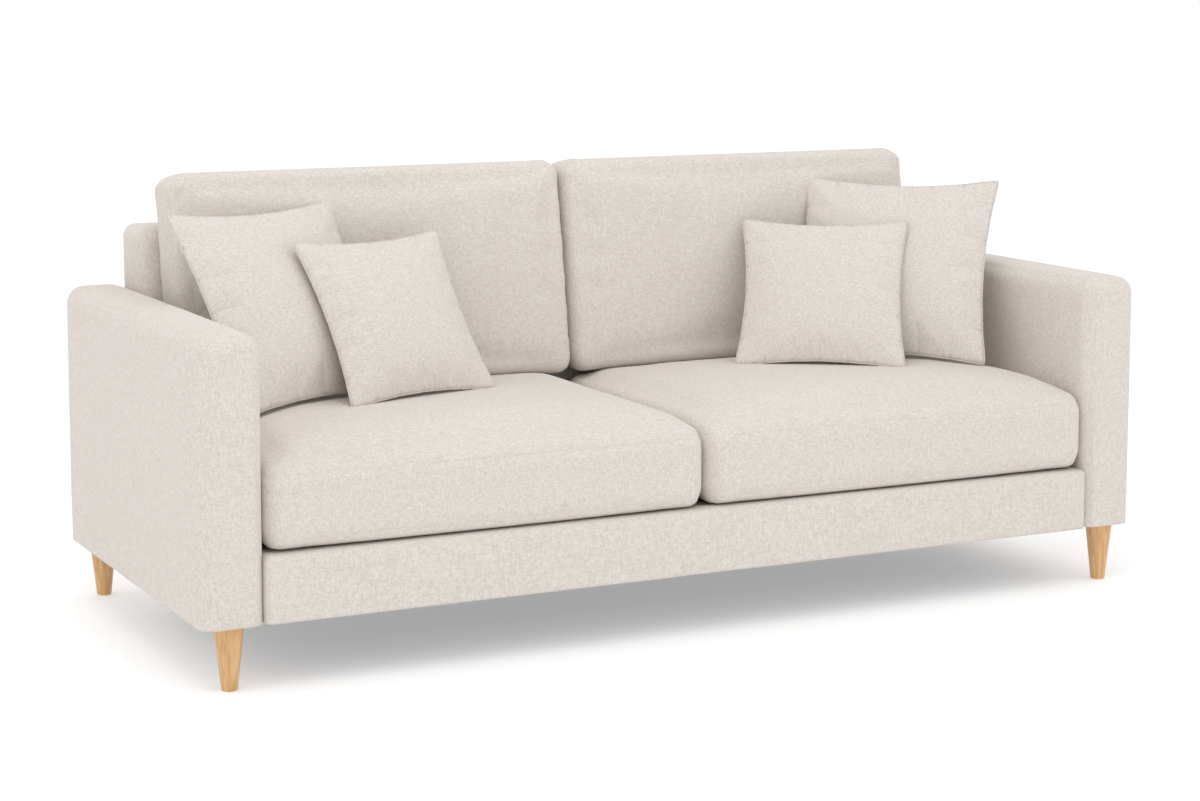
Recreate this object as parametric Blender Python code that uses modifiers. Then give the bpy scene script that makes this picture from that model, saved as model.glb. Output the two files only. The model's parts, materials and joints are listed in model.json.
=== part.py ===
"""Two-seat-cushion sofa on turned wooden legs, modelled as the pieces it is assembled from.

Metres, +Z up, the front faces -Y. The origin is on the floor, under the middle of the sofa.
Timber rails and posts carry springs and webbing. Foam and fabric shells cover the arms, the
back and the front rail. Seat cushions, back cushions and scatter cushions lie loose on top.
"""

import math

import bmesh
import bpy
from mathutils import Vector

# Overall sizes
WIDTH = 2.10
DEPTH = 0.90
LEG_HEIGHT = 0.122
ARM_HEIGHT = 0.66
ARM_THICKNESS = 0.125
BACK_HEIGHT = 0.785
BACK_TOP_THICKNESS = 0.12
BACK_RAKE = math.radians(9.5)
BASE_HEIGHT = 0.128

# Clearances
TOUCH = 0.0005
SLIP = 0.004
REST_GAP = 0.0015

# Upholstery
FABRIC = 0.002
ARM_FOAM = 0.015
BACK_FOAM = 0.015
BORDER_WADDING = 0.008
BORDER_DEPTH = 0.05
DECK_THICKNESS = 0.0105
ARM_RADIUS = 0.028
BACK_RADIUS = 0.022
BORDER_RADIUS = 0.014

# Timber
RAIL_THICKNESS = 0.03
RAIL_HEIGHT = 0.102
POST_WIDTH = 0.06
POST_DEPTH = 0.05
ARM_RAIL_HEIGHT = 0.04
BACK_POST = (0.05, 0.04)
BACK_RAIL_HEIGHT = 0.05
BACK_POST_STAND_OFF = 0.006

# Legs
LEG_TOP_RADIUS = 0.0285
LEG_FOOT_RADIUS = 0.015
LEG_CHAMFER = 0.0015
LEG_INSET_Y = 0.036
LEG_SIDES = 24
BOLT_RADIUS = 0.004
BOLT_LENGTH = 0.065
BOLT_IN_LEG = 0.032

# Springs and webbing
SPRING_WIRE = 0.0019
SPRINGS_PER_SEAT = 4
SPRING_WAVES = 7
SPRING_SWING = 0.024
WEB_WIDTH = 0.05
WEB_THICKNESS = 0.002
WEBS_UP = 8

# Seat and back cushions
CUSHION_GAP = 0.003
SEAT_THICKNESS = 0.174
SEAT_CROWN = 0.025
SEAT_RADIUS = 0.03
SEAT_FRONT_INSET = 0.002
SEAT_LIFT = 0.0055
BACK_CUSHION_WIDTH = 0.885
BACK_CUSHION_THICKNESS = 0.118
BACK_CUSHION_HEIGHT = 0.460
BACK_CUSHION_RADIUS = 0.022
BACK_CUSHION_STAND_OFF = 0.006
ZIP_HEIGHT = 0.008
ZIP_END_MARGIN = 0.10
SLIDER = (0.011, 0.003, 0.009)
PULL = (0.005, 0.0015, 0.024)

# Scatter cushions: name, side, half thickness, foot (x, y), turn and lean in degrees
PILLOW_SEAM = 0.005
PILLOW_PINCH = 0.09
PILLOW_LIFT = 0.003
PILLOWS = (
    ("left_large_pillow", 0.44, 0.050, (-0.664, -0.076), 22.2, 30.4),
    ("left_small_pillow", 0.37, 0.042, (-0.464, -0.109), 15.7, 31.7),
    ("right_large_pillow", 0.44, 0.050, (0.644, -0.087), -41.7, 28.5),
    ("right_small_pillow", 0.37, 0.042, (0.463, -0.108), -33.8, 35.4),
)

FABRIC_COLOUR = (0.76, 0.71, 0.66, 1.0)

# Levels that follow from the sizes above
BASE_TOP = LEG_HEIGHT + BASE_HEIGHT
RAIL_BOTTOM = LEG_HEIGHT + BORDER_WADDING
RAIL_TOP = RAIL_BOTTOM + RAIL_HEIGHT
SEAT_BOTTOM = BASE_TOP + SEAT_LIFT
SEAT_RIM = SEAT_BOTTOM + SEAT_THICKNESS
ARM_INNER = WIDTH / 2 - ARM_THICKNESS
ARM_MIDDLE = WIDTH / 2 - ARM_THICKNESS / 2
FRONT = -DEPTH / 2
REAR = DEPTH / 2
BACK_FACE_TOP = REAR - BACK_TOP_THICKNESS


def back_face(height):
    """Y of the back's raked front face at a height above the floor."""
    return BACK_FACE_TOP - (BACK_HEIGHT - height) * math.tan(BACK_RAKE)


def collection(name):
    made = bpy.data.collections.new(name)
    bpy.context.scene.collection.children.link(made)
    return made


def material(name, colour, roughness, metallic=0.0):
    made = bpy.data.materials.new(name)
    made.use_nodes = True
    shader = made.node_tree.nodes["Principled BSDF"]
    shader.inputs["Base Color"].default_value = colour
    shader.inputs["Roughness"].default_value = roughness
    shader.inputs["Metallic"].default_value = metallic
    return made


def add(name, mesh, finish, where=None):
    """One named object in the sofa's collection, or in another one."""
    made = bpy.data.objects.new(name, mesh)
    (where or SOFA).objects.link(made)
    made.data.materials.append(finish)
    return made


def mesh_of(shape, name):
    bmesh.ops.recalc_face_normals(shape, faces=shape.faces)
    if shape.calc_volume(signed=True) < 0:
        bmesh.ops.reverse_faces(shape, faces=shape.faces)
    mesh = bpy.data.meshes.new(name)
    shape.to_mesh(mesh)
    shape.free()
    return mesh


def box_shape(low, high):
    """A box between two corners."""
    low, high = Vector(low), Vector(high)
    shape = bmesh.new()
    bmesh.ops.create_cube(shape, size=1.0)
    bmesh.ops.scale(shape, vec=high - low, verts=shape.verts)
    bmesh.ops.translate(shape, vec=(low + high) / 2, verts=shape.verts)
    return shape


def box(name, low, high, finish, where=None):
    return add(name, mesh_of(box_shape(low, high), name), finish, where)


def cylinder(name, radius, low, high, finish, where=None, sides=16):
    """An upright cylinder between two points on its axis."""
    low, high = Vector(low), Vector(high)
    shape = bmesh.new()
    bmesh.ops.create_cone(
        shape,
        cap_ends=True,
        segments=sides,
        radius1=radius,
        radius2=radius,
        depth=high.z - low.z,
    )
    bmesh.ops.translate(shape, vec=(low + high) / 2, verts=shape.verts)
    return add(name, mesh_of(shape, name), finish, where)


def boolean(target, other, operation="DIFFERENCE"):
    """Cuts the other object from the target, or joins it on, and hides the other."""
    step = target.modifiers.new(operation.lower(), "BOOLEAN")
    step.operation = operation
    step.solver = "EXACT"
    step.object = other
    other.hide_render = True
    other.display_type = "WIRE"


def rounded_edges(shape, radius, segments, keep=lambda edge: True):
    sharp = [
        edge
        for edge in shape.edges
        if edge.calc_face_angle(0.0) > math.radians(30) and keep(edge)
    ]
    bmesh.ops.bevel(
        shape, geom=sharp, offset=radius, segments=segments, profile=0.5, affect="EDGES"
    )


def same_triangles(shape):
    """Splits each face along one fixed diagonal, so that nested shapes stay parallel."""
    bmesh.ops.triangulate(
        shape, faces=shape.faces, quad_method="FIXED", ngon_method="BEAUTY"
    )


def drop_faces(shape, direction):
    """Removes the faces that point this way, so that Solidify can make a shell."""
    direction = Vector(direction)
    gone = [face for face in shape.faces if face.normal.dot(direction) > 0.95]
    bmesh.ops.delete(shape, geom=gone, context="FACES")


def shell(name, shape, thickness, finish):
    """A shell that grows inwards from an open surface."""
    made = add(name, mesh_of(shape, name), finish)
    solid = made.modifiers.new("wall", "SOLIDIFY")
    solid.thickness = thickness
    solid.offset = -1.0
    solid.use_even_offset = True
    return made


# Legs and their hanger bolts


def leg_mesh():
    """Half of the leg's outline, turned once round: foot, taper, top and the blind bolt hole."""
    hole = BOLT_RADIUS + TOUCH
    floor_of_hole = LEG_HEIGHT - BOLT_IN_LEG - TOUCH
    outline = (
        (0.0, floor_of_hole),
        (hole, floor_of_hole),
        (hole, LEG_HEIGHT),
        (LEG_TOP_RADIUS - LEG_CHAMFER, LEG_HEIGHT),
        (LEG_TOP_RADIUS, LEG_HEIGHT - LEG_CHAMFER),
        (LEG_FOOT_RADIUS, LEG_CHAMFER),
        (LEG_FOOT_RADIUS - LEG_CHAMFER, 0.0),
        (0.0, 0.0),
    )
    mesh = bpy.data.meshes.new("leg")
    points = [(x, 0.0, z) for x, z in outline]
    mesh.from_pydata(points, [(i, i + 1) for i in range(len(points) - 1)], [])
    return mesh


def leg(name, mesh, spot):
    made = add(name, mesh, OAK)
    made.location = spot
    turn = made.modifiers.new("turned", "SCREW")
    turn.steps = turn.render_steps = LEG_SIDES
    turn.use_merge_vertices = True
    turn.merge_threshold = 0.00005
    turn.use_normal_calculate = True
    return made


def legs_and_bolts():
    """Four turned legs. Each hangs on a bolt that runs up into the post of the arm above it."""
    mesh = leg_mesh()
    for end, y in (("front", FRONT + LEG_INSET_Y), ("rear", REAR - LEG_INSET_Y)):
        for side, x in (("left", -ARM_MIDDLE), ("right", ARM_MIDDLE)):
            leg(f"{end}_{side}_leg", mesh, (x, y, 0.0))
            low = LEG_HEIGHT - BOLT_IN_LEG
            high = low + BOLT_LENGTH
            cylinder(
                f"{end}_{side}_leg_bolt", BOLT_RADIUS, (x, y, low), (x, y, high), STEEL
            )


# Timber frame


# The front rail stands this far behind the back of the border.
RAIL_SETBACK = 0.001


def seat_rails():
    """Front rail, rear rail and the centre rail that joins them under the gap in the seat."""
    end = ARM_INNER - TOUCH - SLIP
    front = FRONT + BORDER_WADDING + TOUCH + RAIL_SETBACK
    rear = back_face(LEG_HEIGHT) - SLIP
    box(
        "front_rail",
        (-end, front, RAIL_BOTTOM),
        (end, front + RAIL_THICKNESS, RAIL_TOP),
        PINE,
    )
    box(
        "rear_rail",
        (-end, rear - RAIL_THICKNESS, RAIL_BOTTOM),
        (end, rear, RAIL_TOP),
        PINE,
    )
    half = RAIL_THICKNESS / 2
    box(
        "centre_rail",
        (-half, front + RAIL_THICKNESS + TOUCH, RAIL_BOTTOM),
        (half, rear - RAIL_THICKNESS - TOUCH, RAIL_TOP),
        PINE,
    )


def arm_frame(side, sign):
    """Two posts, with a rail between their feet and one across their tops."""
    middle = sign * ARM_MIDDLE
    skin = FABRIC + ARM_FOAM + 3 * TOUCH
    foot = LEG_HEIGHT + 2 * TOUCH
    post_top = ARM_HEIGHT - skin - ARM_RAIL_HEIGHT - 2 * TOUCH
    half = POST_WIDTH / 2
    outer = DEPTH / 2 - skin - TOUCH
    for end, direction in (("front", -1), ("rear", 1)):
        near, far = sorted((direction * (outer - POST_DEPTH), direction * outer))
        post = box(
            f"{side}_arm_{end}_post",
            (middle - half, near, foot),
            (middle + half, far, post_top),
            PINE,
        )
        y = direction * (DEPTH / 2 - LEG_INSET_Y)
        top = LEG_HEIGHT - BOLT_IN_LEG + BOLT_LENGTH + TOUCH
        hole = cylinder(
            f"{side}_{end}_bolt_hole",
            BOLT_RADIUS + TOUCH,
            (middle, y, LEG_HEIGHT - SLIP),
            (middle, y, top),
            PINE,
            CUTTERS,
        )
        boolean(post, hole)
    inside = outer - POST_DEPTH - TOUCH
    reach = outer - ARM_RADIUS / 2
    box(
        f"{side}_arm_bottom_rail",
        (middle - RAIL_THICKNESS / 2, -inside, foot),
        (middle + RAIL_THICKNESS / 2, inside, foot + BACK_RAIL_HEIGHT),
        PINE,
    )
    box(
        f"{side}_arm_top_rail",
        (middle - half, -reach, post_top + TOUCH),
        (middle + half, reach, post_top + TOUCH + ARM_RAIL_HEIGHT),
        PINE,
    )


def back_frame():
    """Ladder of a bottom rail, three posts and a top rail, with webbing across its front."""
    skin = FABRIC + BACK_FOAM + 3 * TOUCH
    far = REAR - skin - BACK_POST_STAND_OFF
    near = far - BACK_POST[1]
    end = ARM_INNER - TOUCH - skin - SLIP
    foot = LEG_HEIGHT + 2 * TOUCH
    rail_top = BACK_HEIGHT - skin - SLIP
    rail_foot = rail_top - BACK_RAIL_HEIGHT
    box(
        "back_bottom_rail",
        (-end, near, foot),
        (end, far, foot + BACK_RAIL_HEIGHT),
        PINE,
    )
    box("back_top_rail", (-end, near, rail_foot), (end, far, rail_top), PINE)
    half = BACK_POST[0] / 2
    low, high = foot + BACK_RAIL_HEIGHT + TOUCH, rail_foot - TOUCH
    for name, x in (("left", half - end), ("centre", 0.0), ("right", end - half)):
        box(
            f"back_{name}_post",
            (x - half, near, low),
            (x + half, far, high),
            PINE,
        )
    back_webbing(near - TOUCH, end, foot + TOUCH, rail_top - TOUCH)


def back_webbing(y, end, low, high):
    """Elastic straps up the back, sewn to two that run across in front of them."""
    front = y - WEB_THICKNESS
    pitch = 2 * end / WEBS_UP
    straps = []
    for i in range(WEBS_UP):
        x = -end + pitch * (i + 0.5)
        straps.append(
            ((x - WEB_WIDTH / 2, front, low), (x + WEB_WIDTH / 2, y, high))
        )
    for share in (1 / 3, 2 / 3):
        z = low + share * (high - low)
        straps.append(
            (
                (-end, front - WEB_THICKNESS / 2, z - WEB_WIDTH / 2),
                (end, y - WEB_THICKNESS / 2, z + WEB_WIDTH / 2),
            )
        )
    first = box("back_webbing", *straps[-1], WEBBING)
    for i, corners in enumerate(straps[:-1]):
        boolean(first, box(f"strap_{i}", *corners, WEBBING, CUTTERS), "UNION")


# Springs and deck


def wire(name, points):
    """A round wire through these points, as a mesh with welded caps."""
    curve = bpy.data.curves.new(name, "CURVE")
    curve.dimensions = "3D"
    curve.bevel_depth = SPRING_WIRE
    curve.bevel_resolution = 1
    curve.use_fill_caps = True
    line = curve.splines.new("POLY")
    line.points.add(len(points) - 1)
    for point, place in zip(line.points, points):
        point.co = (*place, 1.0)
    drawn = bpy.data.objects.new(name, curve)
    CUTTERS.objects.link(drawn)
    graph = bpy.context.evaluated_depsgraph_get()
    mesh = bpy.data.meshes.new_from_object(drawn.evaluated_get(graph))
    bpy.data.objects.remove(drawn)
    shape = bmesh.new()
    shape.from_mesh(mesh)
    bmesh.ops.remove_doubles(shape, verts=shape.verts, dist=0.00001)
    return mesh_of(shape, name)


def zigzag(x, front, rear, height):
    """Points of one sinuous spring: flat-topped waves that run from front to rear."""
    points = []
    half_wave = (rear - front) / (2 * SPRING_WAVES)
    for i in range(2 * SPRING_WAVES):
        side = SPRING_SWING if i % 2 else -SPRING_SWING
        start = front + i * half_wave
        for share, swing in ((0.08, 0.72), (0.5, 1.0), (0.92, 0.72)):
            points.append((x + side * swing, start + share * half_wave, height))
    return points


def spring_unit(side, sign):
    """The sinuous springs of one seat, held side by side by two tie wires."""
    front = FRONT + BORDER_WADDING + TOUCH + RAIL_THICKNESS / 3
    rear = back_face(LEG_HEIGHT) - SLIP - RAIL_THICKNESS / 3
    height = RAIL_TOP + TOUCH + SPRING_WIRE
    inner, outer = RAIL_THICKNESS, ARM_INNER - RAIL_THICKNESS
    pitch = (outer - inner) / SPRINGS_PER_SEAT
    places = [sign * (inner + pitch * (i + 0.5)) for i in range(SPRINGS_PER_SEAT)]
    unit = None
    for share in (1 / 3, 2 / 3):
        y = front + share * (rear - front)
        reach = SPRING_SWING + 2 * SPRING_WIRE
        line = [
            (min(places) - reach, y, height),
            (max(places) + reach, y, height),
        ]
        mesh = wire(f"{side}_tie", line)
        if unit is None:
            unit = add(f"{side}_seat_springs", mesh, STEEL)
        else:
            boolean(unit, add(f"{side}_tie", mesh, STEEL, CUTTERS), "UNION")
    for i, x in enumerate(places):
        mesh = wire(f"{side}_spring_{i}", zigzag(x, front, rear, height))
        # Each spring crosses both ties, so it joins them into one unit.
        boolean(unit, add(f"{side}_spring_{i}", mesh, STEEL, CUTTERS), "UNION")


def seat_deck():
    """Felt pad and deck cloth over the springs, and the dust cover stapled underneath."""
    end = ARM_INNER - 2 * TOUCH
    front = FRONT + BORDER_DEPTH + 2 * TOUCH
    box(
        "seat_deck",
        (-end, front, BASE_TOP - DECK_THICKNESS),
        (end, back_face(BASE_TOP - DECK_THICKNESS) - TOUCH, BASE_TOP),
        FELT,
    )
    low = LEG_HEIGHT + 2 * TOUCH
    box(
        "dust_cover",
        (-end, FRONT + BORDER_WADDING + 4 * TOUCH, low),
        (end, back_face(low) - SLIP, low + FABRIC),
        DUST,
    )


# Upholstered shells


def arm_shells(side, sign):
    """Foam wrap and sewn cover of one arm, both open underneath."""
    inner, outer = sorted((sign * ARM_INNER, sign * WIDTH / 2))
    for name, inset, wall, finish in (
        ("cover", 0.0, FABRIC, COVER),
        ("foam", FABRIC + TOUCH, ARM_FOAM, FOAM),
    ):
        low = (inner + inset, FRONT + inset, LEG_HEIGHT + TOUCH)
        high = (outer - inset, REAR - inset, ARM_HEIGHT - inset)
        shape = box_shape(low, high)
        rounded_edges(
            shape,
            ARM_RADIUS - inset,
            3,
            lambda edge: any(v.co.z > LEG_HEIGHT + ARM_RADIUS for v in edge.verts),
        )
        drop_faces(shape, (0, 0, -1))
        shell(f"{side}_arm_{name}", shape, wall, finish)


def back_shape(inset):
    """The back's solid outline: upright behind, raked in front."""
    end = ARM_INNER - TOUCH - inset
    foot, top = LEG_HEIGHT + TOUCH, BACK_HEIGHT - inset
    shape = box_shape((-end, 0.0, foot), (end, REAR - inset, top))
    for vert in shape.verts:
        if vert.co.y < REAR / 2:
            vert.co.y = back_face(vert.co.z) + inset / math.cos(BACK_RAKE)
    rounded_edges(
        shape,
        BACK_RADIUS - inset,
        3,
        lambda edge: any(v.co.z > foot + BACK_RADIUS for v in edge.verts),
    )
    drop_faces(shape, (0, 0, -1))
    return shape


def back_shells():
    """Foam wrap and sewn cover of the back, both open underneath."""
    shell("back_cover", back_shape(0.0), FABRIC, COVER)
    shell("back_foam", back_shape(FABRIC + TOUCH), BACK_FOAM, FOAM)


def front_border():
    """Padded cover over the front rail: a front and a top that run from arm to arm."""
    end = ARM_INNER - TOUCH
    shape = box_shape(
        (-end, FRONT, LEG_HEIGHT + TOUCH), (end, FRONT + BORDER_DEPTH, BASE_TOP)
    )
    rounded_edges(
        shape,
        BORDER_RADIUS,
        3,
        lambda edge: all(
            v.co.z > BASE_TOP - TOUCH and v.co.y < FRONT + TOUCH for v in edge.verts
        ),
    )
    for direction in ((0, 0, -1), (0, 1, 0), (-1, 0, 0), (1, 0, 0)):
        drop_faces(shape, direction)
    shell("front_border_cover", shape, BORDER_WADDING, COVER)


# Zipped cushions


def soft_box(size, radius, crown, inset):
    """A box cushion with round edges and a crowned top, shrunk by an inset all round."""
    width, depth, height = size
    low = (-width / 2 + inset, -depth / 2 + inset, inset)
    high = (width / 2 - inset, depth / 2 - inset, height - inset)
    shape = box_shape(low, high)
    bmesh.ops.subdivide_edges(shape, edges=shape.edges, cuts=3, use_grid_fill=True)
    rounded_edges(shape, radius - inset, 2)
    same_triangles(shape)
    for vert in shape.verts:
        across = 1 - (vert.co.x / (width / 2 - inset)) ** 2
        along = 1 - (vert.co.y / (depth / 2 - inset)) ** 2
        share = max(0.0, vert.co.z / height * 2 - 1)
        vert.co.z += crown * across * along * share
    return shape


def leaned(shape, height):
    """Leans a shape back by the rake, about its foot, which stays level."""
    for vert in shape.verts:
        x, thick, up = vert.co
        vert.co.y = up * math.sin(BACK_RAKE) + thick * math.cos(BACK_RAKE)
        tip = thick * math.sin(BACK_RAKE) * up / height
        vert.co.z = up * math.cos(BACK_RAKE) - tip


def slider_shape(x, face, z):
    """Zip slider with its pull hanging down, just proud of the cushion's rear face."""
    wide, deep, high = SLIDER
    near = face + TOUCH
    shape = box_shape(
        (x - wide / 2, near, z - high / 2), (x + wide / 2, near + deep, z + high / 2)
    )
    rounded_edges(shape, 0.001, 1)
    return shape


def pull_shape(x, face, z):
    wide, deep, high = PULL
    near = face + TOUCH + SLIDER[1] - deep
    top = z - SLIDER[2] / 2 + 0.002
    return box_shape((x - wide / 2, near, top - high), (x + wide / 2, near + deep, top))


def cushion(name, size, radius, crown, place, zip_height, leans):
    """Cover with a zipped slot in its rear face, foam core, zip and slider."""
    width, depth, height = size
    half_zip = width / 2 - ZIP_END_MARGIN
    face = depth / 2
    slot = (ZIP_HEIGHT / 2, ZIP_HEIGHT / 2 - TOUCH)
    start = -half_zip + SLIDER[0]
    shapes = {
        "cover": (soft_box(size, radius, crown, 0.0), COVER),
        "cavity": (soft_box(size, radius, crown, FABRIC), None),
        "core": (soft_box(size, radius, crown, FABRIC + TOUCH), FOAM),
        "slot": (
            box_shape(
                (-half_zip, face - 2 * FABRIC, zip_height - slot[0]),
                (half_zip, face + FABRIC, zip_height + slot[0]),
            ),
            None,
        ),
        "zip": (
            box_shape(
                (-half_zip + TOUCH, face - FABRIC, zip_height - slot[1]),
                (half_zip - TOUCH, face, zip_height + slot[1]),
            ),
            ZIP,
        ),
        "zip_slider": (slider_shape(start, face, zip_height), ZIP_METAL),
        "pull": (pull_shape(start, face, zip_height), ZIP_METAL),
    }
    holder = bpy.data.objects.new(f"{name}_place", None)
    SOFA.objects.link(holder)
    holder.location = place
    made = {}
    for piece, (shape, finish) in shapes.items():
        if leans:
            leaned(shape, height)
        where = SOFA if finish and piece != "pull" else CUTTERS
        label = f"{name}_{piece}"
        made[piece] = add(label, mesh_of(shape, label), finish or COVER, where)
        made[piece].parent = holder
    boolean(made["cover"], made["cavity"])
    boolean(made["cover"], made["slot"])
    boolean(made["zip_slider"], made["pull"], "UNION")


def seat_cushions():
    """One loose cushion on each half of the deck, from the front edge to the back's foot."""
    front = FRONT + SEAT_FRONT_INSET
    depth = back_face(SEAT_BOTTOM) - SLIP - SLIDER[1] - front
    width = ARM_INNER - SLIP - CUSHION_GAP
    middle = CUSHION_GAP + width / 2
    for side, sign in (("left", -1), ("right", 1)):
        cushion(
            f"{side}_seat_cushion",
            (width, depth, SEAT_THICKNESS),
            SEAT_RADIUS,
            SEAT_CROWN,
            (sign * middle, front + depth / 2, SEAT_BOTTOM),
            SEAT_THICKNESS / 2,
            False,
        )


def back_cushion_foot():
    """Height of the back cushions' foot, just above the crown of the seat cushions there."""
    return SEAT_RIM + SEAT_CROWN * 0.42 + REST_GAP


def back_cushions():
    """Two loose cushions that stand on the seat cushions and lean on the back."""
    foot = back_cushion_foot()
    thick = BACK_CUSHION_THICKNESS * math.cos(BACK_RAKE)
    y = back_face(foot) - BACK_CUSHION_STAND_OFF - thick / 2
    middle = CUSHION_GAP + BACK_CUSHION_WIDTH / 2
    for side, sign in (("left", -1), ("right", 1)):
        cushion(
            f"{side}_back_cushion",
            (BACK_CUSHION_WIDTH, BACK_CUSHION_THICKNESS, BACK_CUSHION_HEIGHT),
            BACK_CUSHION_RADIUS,
            0.0,
            (sign * middle, y, foot),
            2 * BACK_CUSHION_RADIUS,
            True,
        )


# Scatter cushions


def pillow_shape(side, thick, inset_side, inset_thick):
    """A knife-edged pillow on its foot: four drawn-out corners and a plump middle."""
    half = side / 2 - inset_side
    depth = thick - inset_thick
    shape = bmesh.new()
    bmesh.ops.create_grid(shape, x_segments=6, y_segments=6, size=1.0)
    # Poked faces have no diagonals to choose, so nested shapes stay parallel.
    bmesh.ops.poke(shape, faces=shape.faces)
    for vert in shape.verts:
        u, v, _ = vert.co
        plump = max(0.0, (1 - u * u) * (1 - v * v)) ** 0.6
        vert.co = (
            half * u * (1 - PILLOW_PINCH * (1 - v * v)),
            -depth * plump,
            side / 2 + half * v * (1 - PILLOW_PINCH * (1 - u * u)),
        )
    copied = bmesh.ops.duplicate(shape, geom=shape.verts[:] + shape.edges[:] + shape.faces[:])
    for vert in copied["geom"]:
        if isinstance(vert, bmesh.types.BMVert):
            vert.co.y = -vert.co.y
    bmesh.ops.remove_doubles(shape, verts=shape.verts, dist=0.00001)
    return shape


def pillow(name, side, thick, foot, turn, lean):
    """Cover that is open along a slit in its lower seam, and the filled inner inside it."""
    holder = bpy.data.objects.new(f"{name}_place", None)
    SOFA.objects.link(holder)
    holder.location = (*foot, SEAT_RIM + SEAT_CROWN + PILLOW_LIFT)
    holder.rotation_euler = (-math.radians(lean), 0.0, math.radians(turn))
    cover = add(f"{name}_cover", mesh_of(pillow_shape(side, thick, 0, 0), name), COVER)
    hollow = pillow_shape(side, thick, PILLOW_SEAM, FABRIC)
    cavity = add(f"{name}_cavity", mesh_of(hollow, name), COVER, CUTTERS)
    filling = pillow_shape(side, thick, PILLOW_SEAM + 3 * TOUCH, FABRIC + TOUCH)
    inner = add(f"{name}_inner", mesh_of(filling, name), FILLING)
    slit = box(
        f"{name}_slit",
        (-side / 3, -FABRIC / 2, -side / 8),
        (side / 3, FABRIC / 2, side * PILLOW_PINCH / 2 + 3 * PILLOW_SEAM),
        COVER,
        CUTTERS,
    )
    for piece in (cover, cavity, inner, slit):
        piece.parent = holder
    boolean(cover, cavity)
    boolean(cover, slit)


for old in list(bpy.data.objects):
    bpy.data.objects.remove(old)

SOFA = collection("sofa")
CUTTERS = collection("cutters")
COVER = material("woven_upholstery", FABRIC_COLOUR, 0.95)
FOAM = material("polyurethane_foam", (0.85, 0.80, 0.62, 1.0), 0.9)
FILLING = material("fibre_filled_inner", (0.88, 0.88, 0.86, 1.0), 0.9)
FELT = material("deck_felt", (0.55, 0.52, 0.48, 1.0), 0.95)
DUST = material("dust_cover_cloth", (0.03, 0.03, 0.03, 1.0), 0.9)
PINE = material("pine", (0.70, 0.52, 0.31, 1.0), 0.6)
OAK = material("oiled_oak", (0.62, 0.40, 0.19, 1.0), 0.45)
STEEL = material("spring_steel", (0.35, 0.35, 0.36, 1.0), 0.35, 1.0)
WEBBING = material("elastic_webbing", (0.10, 0.10, 0.11, 1.0), 0.85)
ZIP = material("zip_tape", (0.66, 0.61, 0.56, 1.0), 0.8)
ZIP_METAL = material("nickel_plate", (0.72, 0.71, 0.68, 1.0), 0.3, 1.0)

legs_and_bolts()
seat_rails()
back_frame()
seat_deck()
back_shells()
front_border()
for arm_side, arm_sign in (("left", -1), ("right", 1)):
    arm_frame(arm_side, arm_sign)
    arm_shells(arm_side, arm_sign)
    spring_unit(arm_side, arm_sign)
seat_cushions()
back_cushions()
for scatter in PILLOWS:
    pillow(*scatter)
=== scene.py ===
"""Looks of a two-cushion fabric sofa on turned oak legs: its woven upholstery, its seams, its
swelling cushions and its timber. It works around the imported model, which it never moves."""

import json
import math

import bmesh
import bpy
import numpy as np
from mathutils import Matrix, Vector, noise
from mathutils.bvhtree import BVHTree


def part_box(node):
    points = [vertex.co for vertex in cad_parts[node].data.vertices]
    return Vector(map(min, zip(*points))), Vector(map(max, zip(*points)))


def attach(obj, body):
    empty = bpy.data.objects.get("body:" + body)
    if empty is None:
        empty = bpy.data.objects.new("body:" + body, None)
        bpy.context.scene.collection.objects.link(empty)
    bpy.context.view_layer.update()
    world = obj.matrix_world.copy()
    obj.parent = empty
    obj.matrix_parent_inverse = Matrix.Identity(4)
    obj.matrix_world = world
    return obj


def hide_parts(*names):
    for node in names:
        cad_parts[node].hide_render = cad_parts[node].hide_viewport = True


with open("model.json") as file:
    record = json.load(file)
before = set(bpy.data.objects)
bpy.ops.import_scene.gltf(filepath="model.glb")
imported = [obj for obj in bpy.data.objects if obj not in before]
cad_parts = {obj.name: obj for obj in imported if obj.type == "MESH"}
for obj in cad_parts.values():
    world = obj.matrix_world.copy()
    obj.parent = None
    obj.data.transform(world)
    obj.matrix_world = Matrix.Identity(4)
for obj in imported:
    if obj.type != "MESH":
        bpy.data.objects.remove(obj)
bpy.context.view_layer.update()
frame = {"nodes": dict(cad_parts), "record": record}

# Studio: a white room with one large soft light above and in front, a weaker one on the far
# side, and a pale floor that gives off a little light itself, so that its shadows stay soft.

FLOOR_HEX = "#E0E0E0"
FLOOR_GLOW = 0.32
FLOOR_SIZE = 60.0
STUDIO_WHITE = 1.0
CAMERA_SPOT = (-2.4515, -4.8432, 1.3071)
CAMERA_TILT, CAMERA_HEADING = 6.784, -26.681  # degrees down from level, and round from +Y
CAMERA_LENS = 77.31
CAMERA_SHIFT = -0.10


def linear(hex_code):
    """An sRGB hex colour as the linear colour that shaders take."""
    channels = [int(hex_code[i : i + 2], 16) / 255 for i in (1, 3, 5)]
    curve = [c / 12.92 if c <= 0.04045 else ((c + 0.055) / 1.055) ** 2.4 for c in channels]
    return (*curve, 1.0)


def node(tree, kind, settings=None, **sockets):
    """Adds a shader node. settings are its own options; a socket takes a value or an output."""
    made = tree.nodes.new(kind)
    for key, value in (settings or {}).items():
        setattr(made, key, value)
    for key, value in sockets.items():
        name = key.replace("_", " ")
        socket = made.inputs[int(name[1:])] if name[1:].isdigit() else made.inputs[name]
        if isinstance(value, bpy.types.NodeSocket):
            tree.links.new(value, socket)
        else:
            socket.default_value = value
    return made


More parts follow.
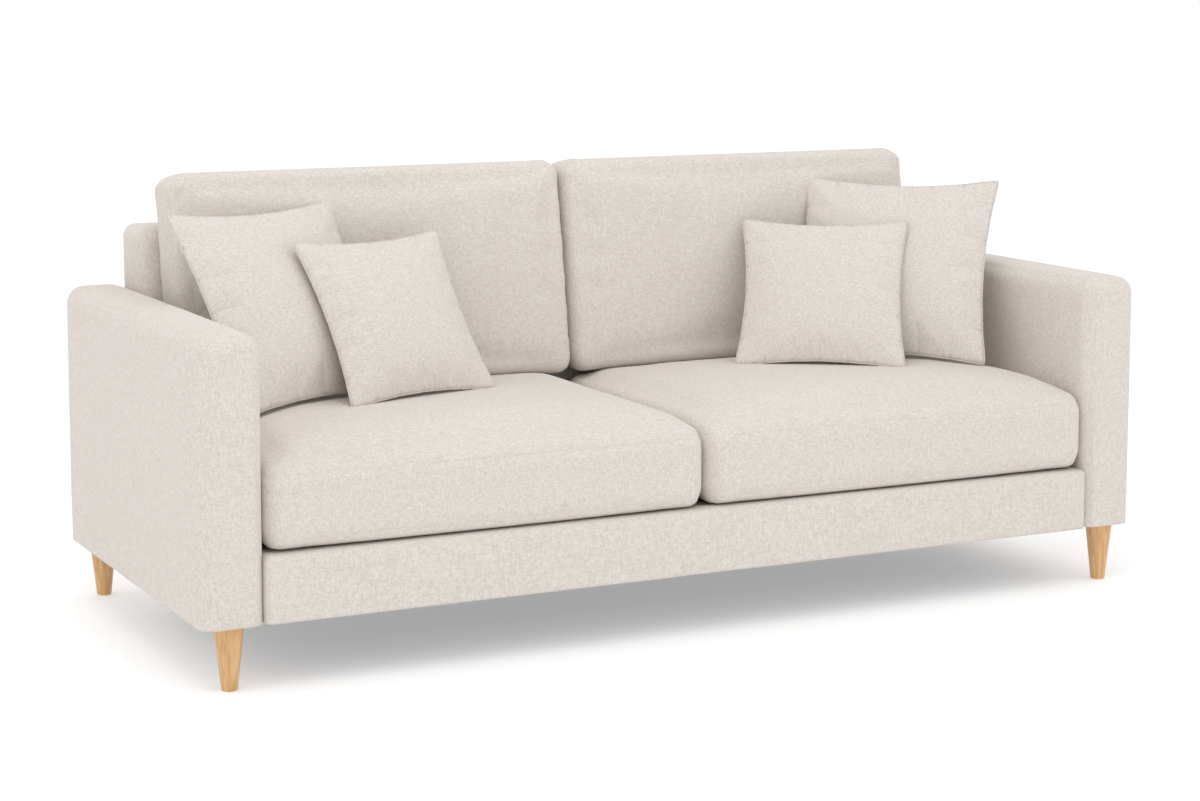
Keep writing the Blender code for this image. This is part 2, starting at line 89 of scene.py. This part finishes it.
def new_material(name, roughness, **fixed):
    """A material with one Principled shader whose unlinked sockets are set straight on it."""
    made = bpy.data.materials.new(name)
    made.use_nodes = True
    shader = made.node_tree.nodes["Principled BSDF"]
    shader.inputs["Roughness"].default_value = roughness
    for key, value in fixed.items():
        shader.inputs[key.replace("_", " ")].default_value = value
    return made, made.node_tree, shader


def place_light(name, size, power, spot, target):
    """A round area light at a spot, turned to face its target."""
    lamp = bpy.data.lights.new(name, "AREA")
    lamp.shape, lamp.size, lamp.energy = "DISK", size, power
    made = bpy.data.objects.new(name, lamp)
    bpy.context.scene.collection.objects.link(made)
    made.location = spot
    made.rotation_euler = (Vector(target) - Vector(spot)).to_track_quat("-Z", "Y").to_euler()


camera_data = bpy.data.cameras.new("camera")
camera = bpy.data.objects.new("camera", camera_data)
bpy.context.scene.collection.objects.link(camera)
bpy.context.scene.camera = camera
camera.location = CAMERA_SPOT
camera.rotation_euler = (math.radians(90 - CAMERA_TILT), 0.0, math.radians(CAMERA_HEADING))
camera_data.lens = CAMERA_LENS
camera_data.shift_y = CAMERA_SHIFT

place_light("key_light", 3.2, 38, (-1.2, -1.5, 4.4), (0.0, 0.0, 0.4))
place_light("fill_light", 3.0, 6, (3.4, -2.4, 2.2), (0.0, 0.0, 0.5))

sky = bpy.data.worlds.new("studio")
bpy.context.scene.world = sky
sky.use_nodes = True
sky.node_tree.nodes["Background"].inputs["Color"].default_value = (1.0, 1.0, 1.0, 1.0)
sky.node_tree.nodes["Background"].inputs["Strength"].default_value = STUDIO_WHITE

bpy.ops.mesh.primitive_plane_add(size=FLOOR_SIZE, location=(0.0, 0.0, 0.0))
floor = bpy.context.object
floor.name = "studio_floor"
floor_paint, _, _ = new_material(
    "matte_white_floor",
    0.9,
    Base_Color=linear(FLOOR_HEX),
    Emission_Color=(1.0, 1.0, 1.0, 1.0),
    Emission_Strength=FLOOR_GLOW,
)
floor.data.materials.append(floor_paint)
bpy.context.scene.view_settings.view_transform = "Standard"

# Upholstery cloth: a plain weave of polyester and linen-look yarn, unbleached, dyed in the
# fibre, so single yarns run lighter and darker. It is matte, with a faint sheen from its nap.

CLOTH_HEX = "#D6CFC8"
DARK_YARN_HEX = "#CBC3BB"
LIGHT_YARN_HEX = "#E0DAD4"
YARN = 0.0015  # Real yarns are about 1 mm apart, drawn a little coarser so that they show.
SLUB_LENGTH = 4.0  # A slub is this many times as long as a yarn is wide.
PATCH_SCALE, PATCH_SHARE = 14.0, 0.03  # broad patches, and how much they move the colour
DARK_STOP, MIDDLE_STOP, LIGHT_STOP = 0.40, 0.54, 0.68


def woven_cloth(name, base_hex, dark_hex, light_hex):
    """Cloth whose slubs run along all three axes, so that every face of a piece shows a weave."""
    made, tree, shader = new_material(
        name, 0.92, Sheen_Weight=0.1, Sheen_Roughness=0.5, Specular_IOR_Level=0.2
    )
    place = node(tree, "ShaderNodeTexCoord").outputs["Object"]
    slubs = []
    for axis in range(3):
        stretch = [1.0, 1.0, 1.0]
        stretch[axis] = 1 / SLUB_LENGTH
        turned = node(tree, "ShaderNodeMapping", Vector=place, Scale=stretch)
        grain = node(
            tree,
            "ShaderNodeTexNoise",
            Vector=turned.outputs["Vector"],
            Scale=1 / YARN / 2,
            Detail=1.0,
            Roughness=0.5,
        )
        slubs.append(grain.outputs["Fac"])
    two = node(tree, "ShaderNodeMath", {"operation": "ADD"}, _0=slubs[0], _1=slubs[1])
    three = node(tree, "ShaderNodeMath", {"operation": "ADD"}, _0=two.outputs[0], _1=slubs[2])
    weave = node(
        tree, "ShaderNodeMath", {"operation": "MULTIPLY"}, _0=three.outputs[0], _1=1 / 3
    ).outputs[0]
    patch = node(tree, "ShaderNodeTexNoise", Vector=place, Scale=PATCH_SCALE, Detail=2.0)
    blended = node(
        tree,
        "ShaderNodeMath",
        {"operation": "MULTIPLY_ADD"},
        _0=patch.outputs["Fac"],
        _1=PATCH_SHARE,
    )
    tree.links.new(weave, blended.inputs[2])
    ramp = node(tree, "ShaderNodeValToRGB", Fac=blended.outputs[0])
    stops = ramp.color_ramp.elements
    stops[0].position, stops[0].color = DARK_STOP, linear(dark_hex)
    stops[1].position, stops[1].color = LIGHT_STOP, linear(light_hex)
    middle = stops.new(MIDDLE_STOP)
    middle.color = linear(base_hex)
    tree.links.new(ramp.outputs["Color"], shader.inputs["Base Color"])
    bump = node(tree, "ShaderNodeBump", Height=weave, Strength=0.35, Distance=0.0012)
    tree.links.new(bump.outputs["Normal"], shader.inputs["Normal"])
    return made


cloth = woven_cloth("woven_linen_look_polyester", CLOTH_HEX, DARK_YARN_HEX, LIGHT_YARN_HEX)

# Fixed upholstery: each arm, the back and the border under the seat is timber wrapped in foam
# with a cover pulled over it and stapled below, so its faces swell a little and its edges are soft.

WRINKLE = 0.0012
CROWDING = 1.35  # how strongly the grid lines crowd towards an edge
WELT_RADIUS, WELT_SINK = 0.0011, 0.0006
ARM_EDGE, ARM_SWELL, ARM_CELL = 0.034, 0.004, 0.014
ARM_SEAM_INSET = 0.016
BACK_EDGE, BACK_SWELL, BACK_CELL = 0.024, 0.003, 0.016
BACK_TOP_DEPTH = 0.12
BORDER_EDGE, BORDER_SWELL, BORDER_CELL = 0.010, 0.002, 0.012


def link(name, mesh, finish):
    """An object in the scene with this mesh, in one finish."""
    made = bpy.data.objects.new(name, mesh)
    bpy.context.scene.collection.objects.link(made)
    mesh.materials.clear()
    mesh.materials.append(finish)
    mesh.shade_smooth()
    return made


def upholstered_block(name, low, high, radius, swell, cell, finish, lean=0.0, round_foot=True):
    """A soft box: its edges are rounded and each face swells between them. lean rakes its front."""
    low, high = Vector(low), Vector(high)
    size = high - low
    cuts = [max(6, round(side / cell)) for side in size]
    shape = bmesh.new()
    bmesh.ops.create_cube(shape, size=2.0)
    for axis in range(3):
        along = [
            edge
            for edge in shape.edges
            if abs(edge.verts[0].co[axis] - edge.verts[1].co[axis]) > 1.5
        ]
        bmesh.ops.subdivide_edges(shape, edges=along, cuts=cuts[axis], use_grid_fill=True)
    for vert in shape.verts:
        unit = vert.co.copy()
        ease = [math.copysign(1 - (1 - abs(t)) ** CROWDING, t) for t in unit]
        place = Vector(low[k] + size[k] * (ease[k] + 1) / 2 for k in range(3))
        core = Vector(
            min(max(place[k], low[k] + radius), high[k] - radius) for k in range(3)
        )
        if not round_foot and place.z < low.z + radius:
            core.z = place.z
        away = place - core
        if away.length > 1e-9:
            place = core + away.normalized() * min(radius, max(abs(a) for a in away))
        for k in range(3):
            others = [(1 - ease[m] ** 2) for m in range(3) if m != k]
            if abs(unit[k]) > 0.999:
                place[k] += math.copysign(swell * others[0] ** 0.5 * others[1] ** 0.5, unit[k])
        wander = noise.noise(place * 5.0) + 0.5 * noise.noise(place * 13.0)
        direction = (place - (low + high) / 2).normalized()
        place += direction * WRINKLE * wander
        if lean:
            share = (high.y - place.y) / size.y
            place.y -= (high.z - place.z) * math.tan(lean) * max(0.0, share)
        vert.co = place
    bmesh.ops.recalc_face_normals(shape, faces=shape.faces)
    mesh = bpy.data.meshes.new(name)
    shape.to_mesh(mesh)
    shape.free()
    return link(name, mesh, finish)


def welt(name, points, body, finish, closed=False):
    """A sewn seam: the ridge of cloth and thread where two panels meet, along these points."""
    curve = bpy.data.curves.new(name, "CURVE")
    curve.dimensions = "3D"
    curve.bevel_depth = WELT_RADIUS
    curve.bevel_resolution = 1
    curve.use_fill_caps = True
    line = curve.splines.new("POLY")
    line.points.add(len(points) - 1)
    for point, place in zip(line.points, points):
        point.co = (*place, 1.0)
    line.use_cyclic_u = closed
    made = bpy.data.objects.new(name, curve)
    bpy.context.scene.collection.objects.link(made)
    curve.materials.append(finish)
    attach(made, body)


def seam_on(piece, targets, centre):
    """Points on a piece's surface, where rays from the centre out to the targets leave it."""
    graph = bpy.context.evaluated_depsgraph_get()
    tree = BVHTree.FromObject(piece, graph)
    points = []
    for target in targets:
        ray = Vector(target) - Vector(centre)
        spot, normal, _, _ = tree.ray_cast(Vector(centre), ray.normalized())
        if spot is not None:
            points.append(spot - normal * WELT_SINK)
    return points


for side, sign in (("left", -1), ("right", 1)):
    low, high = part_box(f"{side}_arm_cover")
    arm = upholstered_block(
        f"{side}_arm_upholstery",
        low,
        high,
        ARM_EDGE,
        ARM_SWELL,
        ARM_CELL,
        cloth,
        round_foot=False,
    )
    # The foam takes the cover's own shape, so one piece stands for both.
    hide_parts(f"{side}_arm_cover", f"{side}_arm_foam")
    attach(arm, "frame")
    inner = low.x if sign > 0 else high.x
    middle = (low + high) / 2
    edge_x = inner + sign * ARM_SEAM_INSET
    top_run = [(edge_x, high.y - 0.03 - i * 0.02, high.z + 0.01) for i in range(42)]
    front_run = [(edge_x, low.y - 0.01, high.z - 0.03 - i * 0.02) for i in range(25)]
    seam_points = []
    for target in top_run + front_run:
        start = (middle.x, target[1], middle.z) if target in top_run else (middle.x, 0, target[2])
        seam_points += seam_on(arm, [target], start)
    welt(f"{side}_arm_seam", seam_points, "frame", cloth)

low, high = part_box("back_cover")
back_lean = math.atan((high.y - low.y - BACK_TOP_DEPTH) / (high.z - low.z))
back = upholstered_block(
    "back_upholstery",
    (low.x, high.y - BACK_TOP_DEPTH, low.z),
    high,
    BACK_EDGE,
    BACK_SWELL,
    BACK_CELL,
    cloth,
    lean=back_lean,
    round_foot=False,
)
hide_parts("back_cover", "back_foam")
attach(back, "frame")

low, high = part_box("front_border_cover")
border = upholstered_block(
    "front_border",
    low,
    high,
    BORDER_EDGE,
    BORDER_SWELL,
    BORDER_CELL,
    cloth,
    round_foot=False,
)
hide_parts("front_border_cover")
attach(border, "frame")

# Loose seat and back cushions: a boxed cover sewn from a top, a bottom and a band, filled tight
# with foam. It swells between its seams and lies flat on the deck and against the back.

CUSHION_SETTINGS = {
    # kind: pressure inside, and how far a point may move
    "seat": (5.0, 0.016),
    "back": (4.0, 0.014),
}
CUSHION_CELL = 0.013
CLOTH_OVER_FILLING = 0.0045
SIDE_ROOM = 0.002
FRONT_ROOM = 0.008
REAR_RELIEF = 0.0045
RING_POINTS = 240
SEAT_SEAMS = (0.10, 0.71)  # shares of the cushion's height
SEAM_REACH, SEAM_DEPTH = 0.012, 0.0035
FRONT_ROLL, FRONT_DROP = 0.15, 0.026
SIDE_ROLL, SIDE_DROP = 0.09, 0.012
BACK_SEAMS = (0.042, -0.042)  # in front of and behind the cushion's middle
CUSHION_RAKE = math.radians(9.5)


def solid_copy(cad_node, name, finish):
    """A free copy of a CAD node's mesh with its shared points welded."""
    shape = bmesh.new()
    shape.from_mesh(frame["nodes"][cad_node].data)
    bmesh.ops.remove_doubles(shape, verts=shape.verts, dist=0.00005)
    mesh = bpy.data.meshes.new(name)
    shape.to_mesh(mesh)
    shape.free()
    return link(name, mesh, finish)


def applied(piece):
    """Replaces the piece's mesh with what its modifiers make of it, and drops them."""
    graph = bpy.context.evaluated_depsgraph_get()
    mesh = bpy.data.meshes.new_from_object(piece.evaluated_get(graph))
    piece.modifiers.clear()
    piece.data = mesh
    mesh.shade_smooth()


def inflated(piece, pressure, reach, pin=None):
    """Blows the cloth up against its own stretch, and caps how far each point may move."""
    start = [vert.co.copy() for vert in piece.data.vertices]
    outward = [vert.normal.copy() for vert in piece.data.vertices]
    blown = piece.modifiers.new("cloth", "CLOTH")
    blown.settings.quality = 4
    blown.settings.mass = 0.3
    blown.settings.tension_stiffness = 25.0
    blown.settings.compression_stiffness = 12.0
    blown.settings.bending_stiffness = 1.5
    blown.settings.use_pressure = True
    blown.settings.uniform_pressure_force = pressure
    blown.settings.effector_weights.gravity = 0.0
    if pin:
        blown.settings.vertex_group_mass = pin
    for step in range(1, 21):
        bpy.context.scene.frame_set(step)
    graph = bpy.context.evaluated_depsgraph_get()
    result = [vert.co.copy() for vert in piece.evaluated_get(graph).data.vertices]
    piece.modifiers.clear()
    bpy.context.scene.frame_set(1)
    for vert, was, now, normal in zip(piece.data.vertices, start, result, outward):
        moved = now - was
        # The foam inside holds every point out, so nothing sinks below where it started.
        moved -= normal * min(0.0, moved.dot(normal))
        vert.co = was + moved * min(1.0, reach / max(moved.length, 1e-9))


def dressed(piece, thickness, low, high):
    """Lays the cloth over the filling, and keeps it inside the room it has, low to high."""
    normals = [vert.normal.copy() for vert in piece.data.vertices]
    for vert, outward in zip(piece.data.vertices, normals):
        place = vert.co + outward * thickness
        vert.co = [min(max(place[k], low[k]), high[k]) for k in range(3)]


def worn_in(piece, low, high):
    """Lets the top panel of a seat roll down to its seam at the front and at both sides."""
    middle = (low.z + high.z) / 2
    for vert in piece.data.vertices:
        share = min(1.0, max(0.0, (vert.co.z - middle) / (high.z - middle)))
        ahead = max(0.0, 1 - (vert.co.y - low.y) / FRONT_ROLL)
        edge = min(vert.co.x - low.x, high.x - vert.co.x)
        beside = max(0.0, 1 - edge / SIDE_ROLL)
        vert.co.z -= share * (FRONT_DROP * ahead**2 + SIDE_DROP * beside**2)


def sewn_in(piece, centre, across):
    """Pulls the cloth in along a seam, which lies in the plane through centre, square to across."""
    normals = [vert.normal.copy() for vert in piece.data.vertices]
    for vert, outward in zip(piece.data.vertices, normals):
        away = abs((vert.co - centre).dot(across))
        if away < SEAM_REACH:
            pull = SEAM_DEPTH * (1 - away / SEAM_REACH) ** 2 * (1 - abs(outward.dot(across)))
            vert.co -= outward * pull


def ring_on(piece, centre, across, up):
    """Points round a piece's surface, in the plane of two directions through its centre."""
    targets = []
    for i in range(RING_POINTS):
        angle = 2 * math.pi * i / RING_POINTS
        targets.append(Vector(centre) + math.cos(angle) * across + math.sin(angle) * up)
    return seam_on(piece, targets, centre)


def softened(piece):
    """Rounds the piece's facets with one subdivision."""
    smooth = piece.modifiers.new("smooth", "SUBSURF")
    smooth.levels = smooth.render_levels = 1
    applied(piece)


for kind, (pressure, reach) in CUSHION_SETTINGS.items():
    for side in ("left", "right"):
        body = f"{side}_{kind}_cushion"
        cushion = solid_copy(f"{body}_core", f"{body}_upholstery", cloth)
        even = cushion.modifiers.new("even", "REMESH")
        even.mode = "VOXEL"
        even.voxel_size = CUSHION_CELL
        applied(cushion)
        inflated(cushion, pressure, reach)
        softened(cushion)
        low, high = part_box(f"{body}_cover")
        room_low = (low.x - SIDE_ROOM, low.y - FRONT_ROOM, low.z)
        if kind == "seat":
            room_high = (high.x + SIDE_ROOM, high.y - REAR_RELIEF, high.z + FRONT_ROOM)
            dressed(cushion, CLOTH_OVER_FILLING, room_low, room_high)
            worn_in(cushion, low, high)
            planes = [
                (Vector((0, 0, low.z + share * (high.z - low.z))), Vector((0, 1, 0)))
                for share in SEAT_SEAMS
            ]
        else:
            room_high = (high.x + SIDE_ROOM, high.y, high.z + SIDE_ROOM)
            dressed(cushion, CLOTH_OVER_FILLING, room_low, room_high)
            slope = Vector((0, math.sin(CUSHION_RAKE), math.cos(CUSHION_RAKE)))
            facing = Vector((0, -math.cos(CUSHION_RAKE), math.sin(CUSHION_RAKE)))
            planes = [(facing * offset, slope) for offset in BACK_SEAMS]
        cushion.data.materials.clear()
        cushion.data.materials.append(cloth)
        middle = (low + high) / 2
        for i, (offset, up) in enumerate(planes):
            centre = middle + offset if kind == "back" else Vector((middle.x, middle.y, offset.z))
            sewn_in(cushion, centre, Vector((1, 0, 0)).cross(up))
            points = ring_on(cushion, centre, Vector((1, 0, 0)), up)
            welt(f"{body}_seam_{i}", points, body, cloth, closed=True)
        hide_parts(f"{body}_cover", f"{body}_core")
        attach(cushion, body)

# Scatter cushions: two squares of the same cloth sewn together round their edges and stuffed
# with a fibre inner, so the middle is plump and the corners run out to flat points.

PILLOW_PRESSURE = 3.0
PILLOW_REACH = 0.012
PILLOW_ROOM = 0.012
COVER_OVER_INNER = 1.015
RIM_HALF = 0.0008  # points this near the middle plane are sewn, and stay where they are

for side in ("left", "right"):
    for size in ("large", "small"):
        body = f"{side}_{size}_pillow"
        pillow = solid_copy(f"{body}_inner", f"{body}_upholstery", cloth)
        heart = sum((vert.co for vert in pillow.data.vertices), Vector())
        heart /= len(pillow.data.vertices)
        for vert in pillow.data.vertices:
            vert.co = heart + (vert.co - heart) * COVER_OVER_INNER
        finer = pillow.modifiers.new("finer", "SUBSURF")
        finer.subdivision_type = "SIMPLE"
        finer.levels = finer.render_levels = 3
        applied(pillow)
        places = np.array([vert.co for vert in pillow.data.vertices])
        middle = places.mean(axis=0)
        axes = np.linalg.svd(places - middle, full_matrices=False)[2]
        off_plane = np.abs((places - middle) @ axes[2])
        rim = pillow.vertex_groups.new(name="sewn_rim")
        rim.add([int(i) for i in np.flatnonzero(off_plane < RIM_HALF)], 1.0, "REPLACE")
        inflated(pillow, PILLOW_PRESSURE, PILLOW_REACH, pin=rim.name)
        low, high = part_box(f"{body}_cover")
        room = Vector((PILLOW_ROOM, PILLOW_ROOM, PILLOW_ROOM))
        dressed(pillow, CLOTH_OVER_FILLING, low - room, high + room)
        pillow.data.materials.clear()
        pillow.data.materials.append(cloth)
        ring = ring_on(pillow, Vector(middle), Vector(axes[0]), Vector(axes[1]))
        welt(f"{body}_seam", ring, body, cloth, closed=True)
        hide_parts(f"{body}_cover", f"{body}_inner")
        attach(pillow, body)

# Legs: turned from solid oak on a lathe, sanded and oiled. The grain runs up the leg, pale
# between darker pores, and the oil leaves a low satin gloss.

OAK_HEX = "#D9AF7B"
OAK_PORE_HEX = "#C1915C"
GRAIN_WIDTH = 0.003
GRAIN_STRETCH = 0.06  # the grain is drawn out along the timber by one over this


def sawn_wood(name, light_hex, dark_hex, grain, along, roughness, coat):
    """Timber with straight grain along one axis, in bands about this wide."""
    made, tree, shader = new_material(name, roughness, Coat_Weight=coat, Coat_Roughness=0.35)
    stretch = [1.0, 1.0, 1.0]
    stretch[along] = GRAIN_STRETCH
    place = node(tree, "ShaderNodeTexCoord").outputs["Object"]
    turned = node(tree, "ShaderNodeMapping", Vector=place, Scale=stretch)
    bands = node(
        tree,
        "ShaderNodeTexNoise",
        Vector=turned.outputs["Vector"],
        Scale=1 / grain / 2,
        Detail=4.0,
        Roughness=0.6,
    )
    ramp = node(tree, "ShaderNodeValToRGB", Fac=bands.outputs["Fac"])
    stops = ramp.color_ramp.elements
    stops[0].position, stops[0].color = 0.35, linear(dark_hex)
    stops[1].position, stops[1].color = 0.62, linear(light_hex)
    tree.links.new(ramp.outputs["Color"], shader.inputs["Base Color"])
    bump = node(
        tree, "ShaderNodeBump", Height=bands.outputs["Fac"], Strength=0.15, Distance=0.0005
    )
    tree.links.new(bump.outputs["Normal"], shader.inputs["Normal"])
    return made


oak = sawn_wood("oiled_turned_oak", OAK_HEX, OAK_PORE_HEX, GRAIN_WIDTH, 2, 0.42, 0.15)

# Hidden build: pine rails, foam wraps, felt, webbing, springs, zips and bolts. They show from
# below and when a cushion is lifted, so each has its own finish.


def mottled(name, light_hex, dark_hex, size, roughness, depth, **fixed):
    """A surface that varies in colour and height over patches about this wide."""
    made, tree, shader = new_material(name, roughness, **fixed)
    place = node(tree, "ShaderNodeTexCoord").outputs["Object"]
    patches = node(tree, "ShaderNodeTexNoise", Vector=place, Scale=1 / size / 2, Detail=3.0)
    ramp = node(tree, "ShaderNodeValToRGB", Fac=patches.outputs["Fac"])
    stops = ramp.color_ramp.elements
    stops[0].position, stops[0].color = 0.35, linear(dark_hex)
    stops[1].position, stops[1].color = 0.65, linear(light_hex)
    tree.links.new(ramp.outputs["Color"], shader.inputs["Base Color"])
    bump = node(tree, "ShaderNodeBump", Height=patches.outputs["Fac"], Strength=0.3, Distance=depth)
    tree.links.new(bump.outputs["Normal"], shader.inputs["Normal"])
    return made


finishes = {
    "woven_upholstery": cloth,
    "oiled_oak": oak,
    "pine": sawn_wood("planed_pine", "#DDBB8A", "#C09258", 0.006, 0, 0.65, 0.0),
    "polyurethane_foam": mottled("open_cell_foam", "#EFE6C4", "#DDD2A6", 0.002, 0.9, 0.001),
    "fibre_filled_inner": mottled("bonded_polyester_inner", "#F2F2EF", "#E2E2DE", 0.004, 0.9, 0.001),
    "deck_felt": mottled("needled_felt", "#CFC9C0", "#B4ADA3", 0.003, 0.95, 0.001),
    "dust_cover_cloth": mottled("spunbond_polypropylene", "#26262A", "#17171A", 0.003, 0.85, 0.0005),
    "elastic_webbing": mottled("woven_elastic_webbing", "#2E2E33", "#1B1B1F", 0.002, 0.85, 0.0005),
    "zip_tape": mottled("nylon_coil_zip", "#C9C0B5", "#AFA598", 0.0015, 0.75, 0.0008),
    "spring_steel": mottled("oiled_spring_steel", "#8C8C90", "#6A6A6E", 0.004, 0.38, 0.0002, Metallic=1.0),
    "nickel_plate": mottled("nickel_plated_zinc", "#CFCBC2", "#B9B5AC", 0.004, 0.28, 0.0001, Metallic=1.0),
}
for entry in frame["record"]["subparts"]:
    cad = frame["nodes"][entry["node"]]
    cad.data.materials.clear()
    cad.data.materials.append(finishes[entry["material_slot"]])
    if entry["node"].endswith("_leg"):
        cad.data.shade_smooth()
